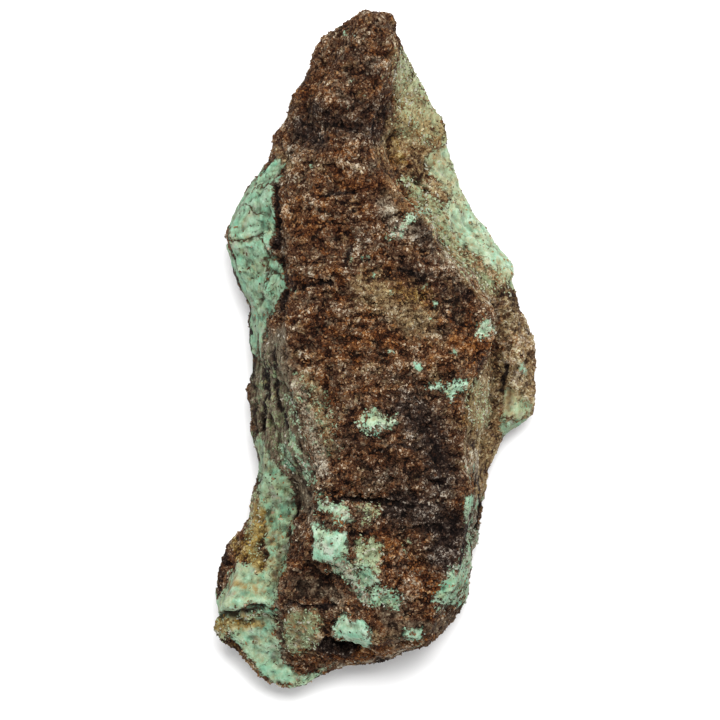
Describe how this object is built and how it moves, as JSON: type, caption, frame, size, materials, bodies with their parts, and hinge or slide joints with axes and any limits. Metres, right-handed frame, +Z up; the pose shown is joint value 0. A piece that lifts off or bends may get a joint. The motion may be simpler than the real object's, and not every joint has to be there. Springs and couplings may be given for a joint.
{
  "type": "rough turquoise specimen",
  "caption": "Long wedge-shaped piece of rough rock lying flat, with pale green turquoise on its flanks and a raised cap of dark brown sandy matrix.",
  "frame": {"origin": "middle of the bounding box's footprint, on the surface that the stone rests on", "axes": "+Y along the stone towards its pointed end, +X to the right seen from above, +Z up through the thickness"},
  "size_m": [0.062, 0.129, 0.0355],
  "materials": {
    "turquoise_in_matrix": "rough broken stone: dark brown iron-stained sandstone matrix with crusts and seams of pale green turquoise"
  },
  "bodies": {
    "root": {"turquoise_stone": "turquoise_in_matrix"}
  },
  "joints": []
}
